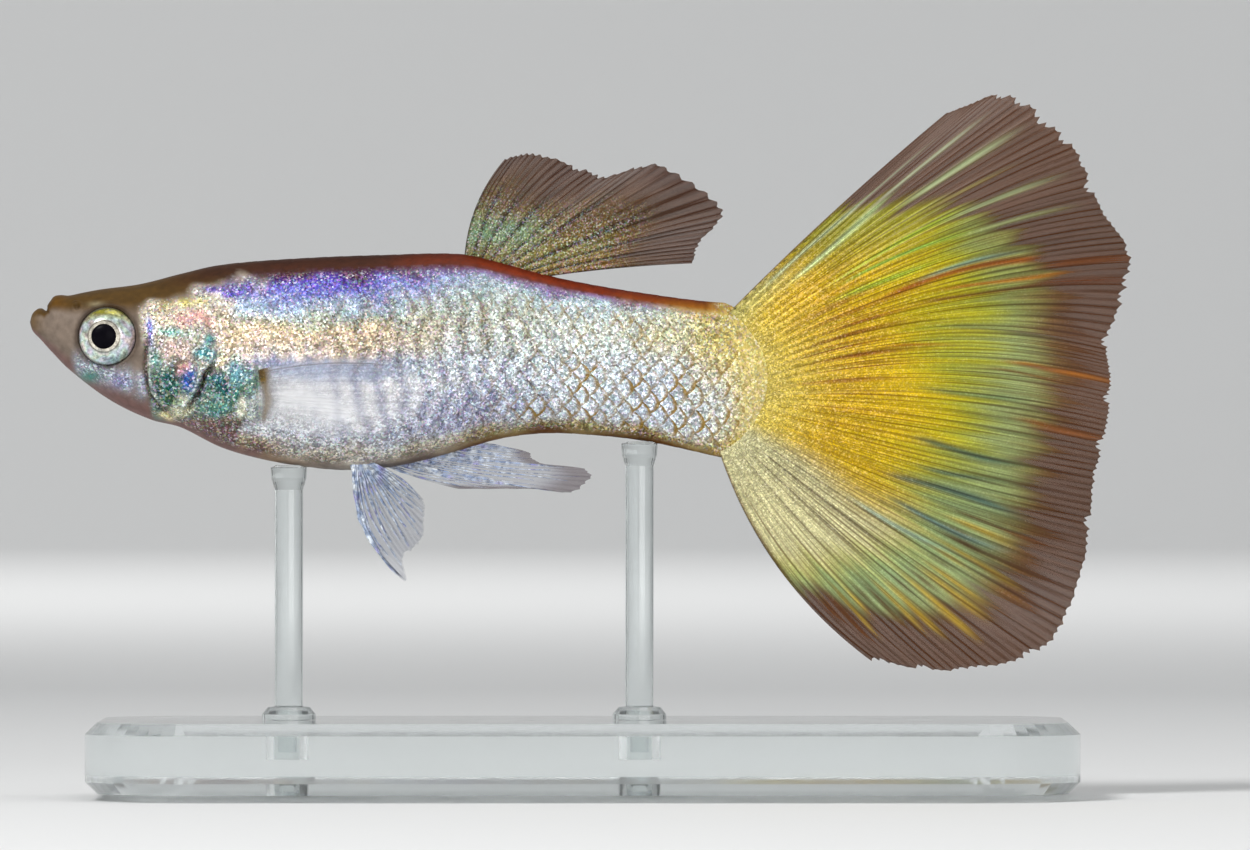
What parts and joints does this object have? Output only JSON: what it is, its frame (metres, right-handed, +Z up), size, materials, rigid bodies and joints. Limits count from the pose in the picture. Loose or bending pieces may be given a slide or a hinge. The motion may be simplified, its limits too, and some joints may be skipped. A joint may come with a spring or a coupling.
{
  "type": "fancy guppy display model",
  "caption": "Still, life-size male fancy guppy with a large fan-shaped tail fin, on a flat base with two short rods.",
  "frame": {"origin": "centre of the model's box, at the underside of the stand's base", "axes": "-X towards the fish's snout, +X towards its tail, -Y towards its left side, +Z up"},
  "size_m": [0.0469, 0.018, 0.0296],
  "materials": {
    "body_skin": "glossy skin with a silvery glitter",
    "tail_fin_membrane": "satin, golden",
    "dorsal_fin_membrane": "satin, olive-gold",
    "belly_fin_membrane": "satin, silver-blue",
    "side_fin_membrane": "satin, nearly clear",
    "eye": "polished, silver iris round a black pupil",
    "clear_stand": "polished"
  },
  "bodies": {
    "root": {"head": "body_skin", "trunk": "body_skin", "tail_stalk": "body_skin", "tail_fin": "tail_fin_membrane", "dorsal_fin": "dorsal_fin_membrane", "anal_fin": "belly_fin_membrane", "pelvic_fin_left": "belly_fin_membrane", "pelvic_fin_right": "belly_fin_membrane", "pectoral_fin_left": "side_fin_membrane", "pectoral_fin_right": "side_fin_membrane", "eye_left": "eye", "eye_right": "eye", "stand_base": "clear_stand", "stand_rod_front": "clear_stand", "stand_rod_rear": "clear_stand"}
  },
  "joints": []
}
